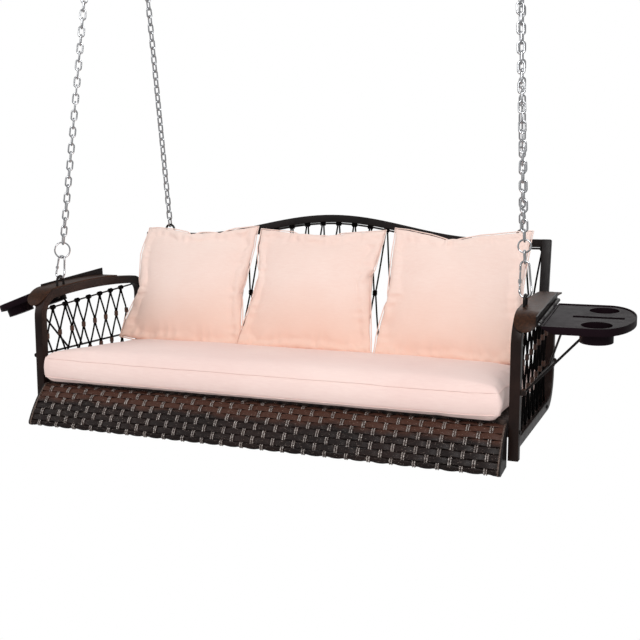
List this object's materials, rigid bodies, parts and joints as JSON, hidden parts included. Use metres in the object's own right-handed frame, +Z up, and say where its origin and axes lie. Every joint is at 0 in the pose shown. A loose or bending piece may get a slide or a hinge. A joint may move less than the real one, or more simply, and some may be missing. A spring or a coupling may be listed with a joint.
{
  "type": "porch swing seat",
  "caption": "Hanging bench seat with corded back and arms, woven front roll, loose cushions, chains to ceiling brackets and folding side trays with cup holders.",
  "frame": {"origin": "centre of the four ceiling bolt holes, on the top plane of the ceiling brackets", "axes": "+X along the seat to the right as seen from in front, -Y towards the front, +Z up"},
  "size_m": [1.8876, 0.6787, 1.414],
  "materials": {
    "hanger_black": "satin black powder coat",
    "zinc": "zinc-plated steel",
    "chrome_chain": "bright plated steel wire",
    "brown_frame": "satin dark brown powder coat",
    "black_metal": "satin near-black brown powder coat",
    "cord": "round woven cord, near black",
    "brown_band": "flat brown wrapping strip",
    "weave": "two-tone dark brown plastic weave",
    "fabric": "plain pale peach woven cloth",
    "board": "dark brown smooth board",
    "tray": "dark brown moulded plastic",
    "dark_plastic": "dark plastic"
  },
  "bodies": {
    "ceiling": {"ceiling_bracket_left": "hanger_black", "ceiling_bracket_right": "hanger_black", "pivot_bolts": "zinc"},
    "swing": {"hanger_bar_left": "hanger_black", "hanger_bar_right": "hanger_black", "hanger_eyes": "hanger_black", "chain_front_left": "chrome_chain", "chain_front_right": "chrome_chain", "chain_rear_left": "chrome_chain", "chain_rear_right": "chrome_chain", "ring_left": "chrome_chain", "ring_right": "chrome_chain", "joining_link": "chrome_chain", "carabiner_left": "chrome_chain", "carabiner_right": "chrome_chain", "arm_eyes": "black_metal", "back_eyes": "black_metal", "eye_nuts": "black_metal", "side_frame_left": "brown_frame", "side_frame_right": "brown_frame", "foot_caps": "dark_plastic", "side_rods": "black_metal", "side_cords_left": "cord", "side_cords_right": "cord", "side_bands_left": "brown_band", "side_bands_right": "brown_band", "back_frame": "black_metal", "back_rod": "black_metal", "back_cords": "cord", "back_bands": "black_metal", "seat_frame": "black_metal", "seat_deck": "weave", "front_roll": "weave", "roll_ends": "dark_plastic", "roll_frame": "black_metal", "frame_bolts": "black_metal", "seat_cushion": "fabric", "pillow_left": "fabric", "pillow_middle": "fabric", "pillow_right": "fabric", "arm_board_left": "board", "arm_board_right": "board", "hinge_rail_left": "black_metal", "hinge_rail_right": "black_metal", "hinge_pins": "zinc", "stay_clips": "black_metal"},
    "tray_left": {"tray_left": "tray"},
    "tray_right": {"tray_right": "tray"},
    "stay_left": {"stay_left": "black_metal"},
    "stay_right": {"stay_right": "black_metal"},
    "gate_left": {"gate_left": "chrome_chain"},
    "gate_right": {"gate_right": "chrome_chain"}
  },
  "joints": [
    {"name": "swing_pivot", "type": "hinge", "parent": "ceiling", "child": "swing", "pos_m": [0, 0, -0.046], "axis": [1, 0, 0], "range_deg": [-25, 25]},
    {"name": "tray_fold_right", "type": "hinge", "parent": "swing", "child": "tray_right", "pos_m": [0.745, -0.368, -1.057], "axis": [0, 0.9963, 0.0854], "range_deg": [0, 75]},
    {"name": "stay_fold_right", "type": "hinge", "parent": "swing", "child": "stay_right", "pos_m": [0.707, -0.276, -1.228], "axis": [0, 1, 0], "range_deg": [0, 135]},
    {"name": "tray_fold_left", "type": "hinge", "parent": "swing", "child": "tray_left", "pos_m": [-0.745, -0.368, -1.057], "axis": [0, -0.9963, -0.0854], "range_deg": [0, 55]},
    {"name": "stay_fold_left", "type": "hinge", "parent": "swing", "child": "stay_left", "pos_m": [-0.707, -0.276, -1.228], "axis": [0, -1, 0], "range_deg": [0, 134]},
    {"name": "gate_open_left", "type": "hinge", "parent": "swing", "child": "gate_left", "pos_m": [-0.69987, -0.20703, -0.98566], "axis": [-0.0036, 0.994, -0.1091], "range_deg": [0, 20], "stiffness_Nm_per_rad": 0.4, "springref_deg": -17.19},
    {"name": "gate_open_right", "type": "hinge", "parent": "swing", "child": "gate_right", "pos_m": [0.67247, -0.20675, -0.98398], "axis": [0.0036, 0.994, -0.1091], "range_deg": [0, 20], "stiffness_Nm_per_rad": 0.4, "springref_deg": -17.19}
  ],
  "couplings": [
    {"joint": "stay_fold_right", "follows": "tray_fold_right", "ratio": 1.75},
    {"joint": "stay_fold_left", "follows": "tray_fold_left", "ratio": 2.42}
  ]
}
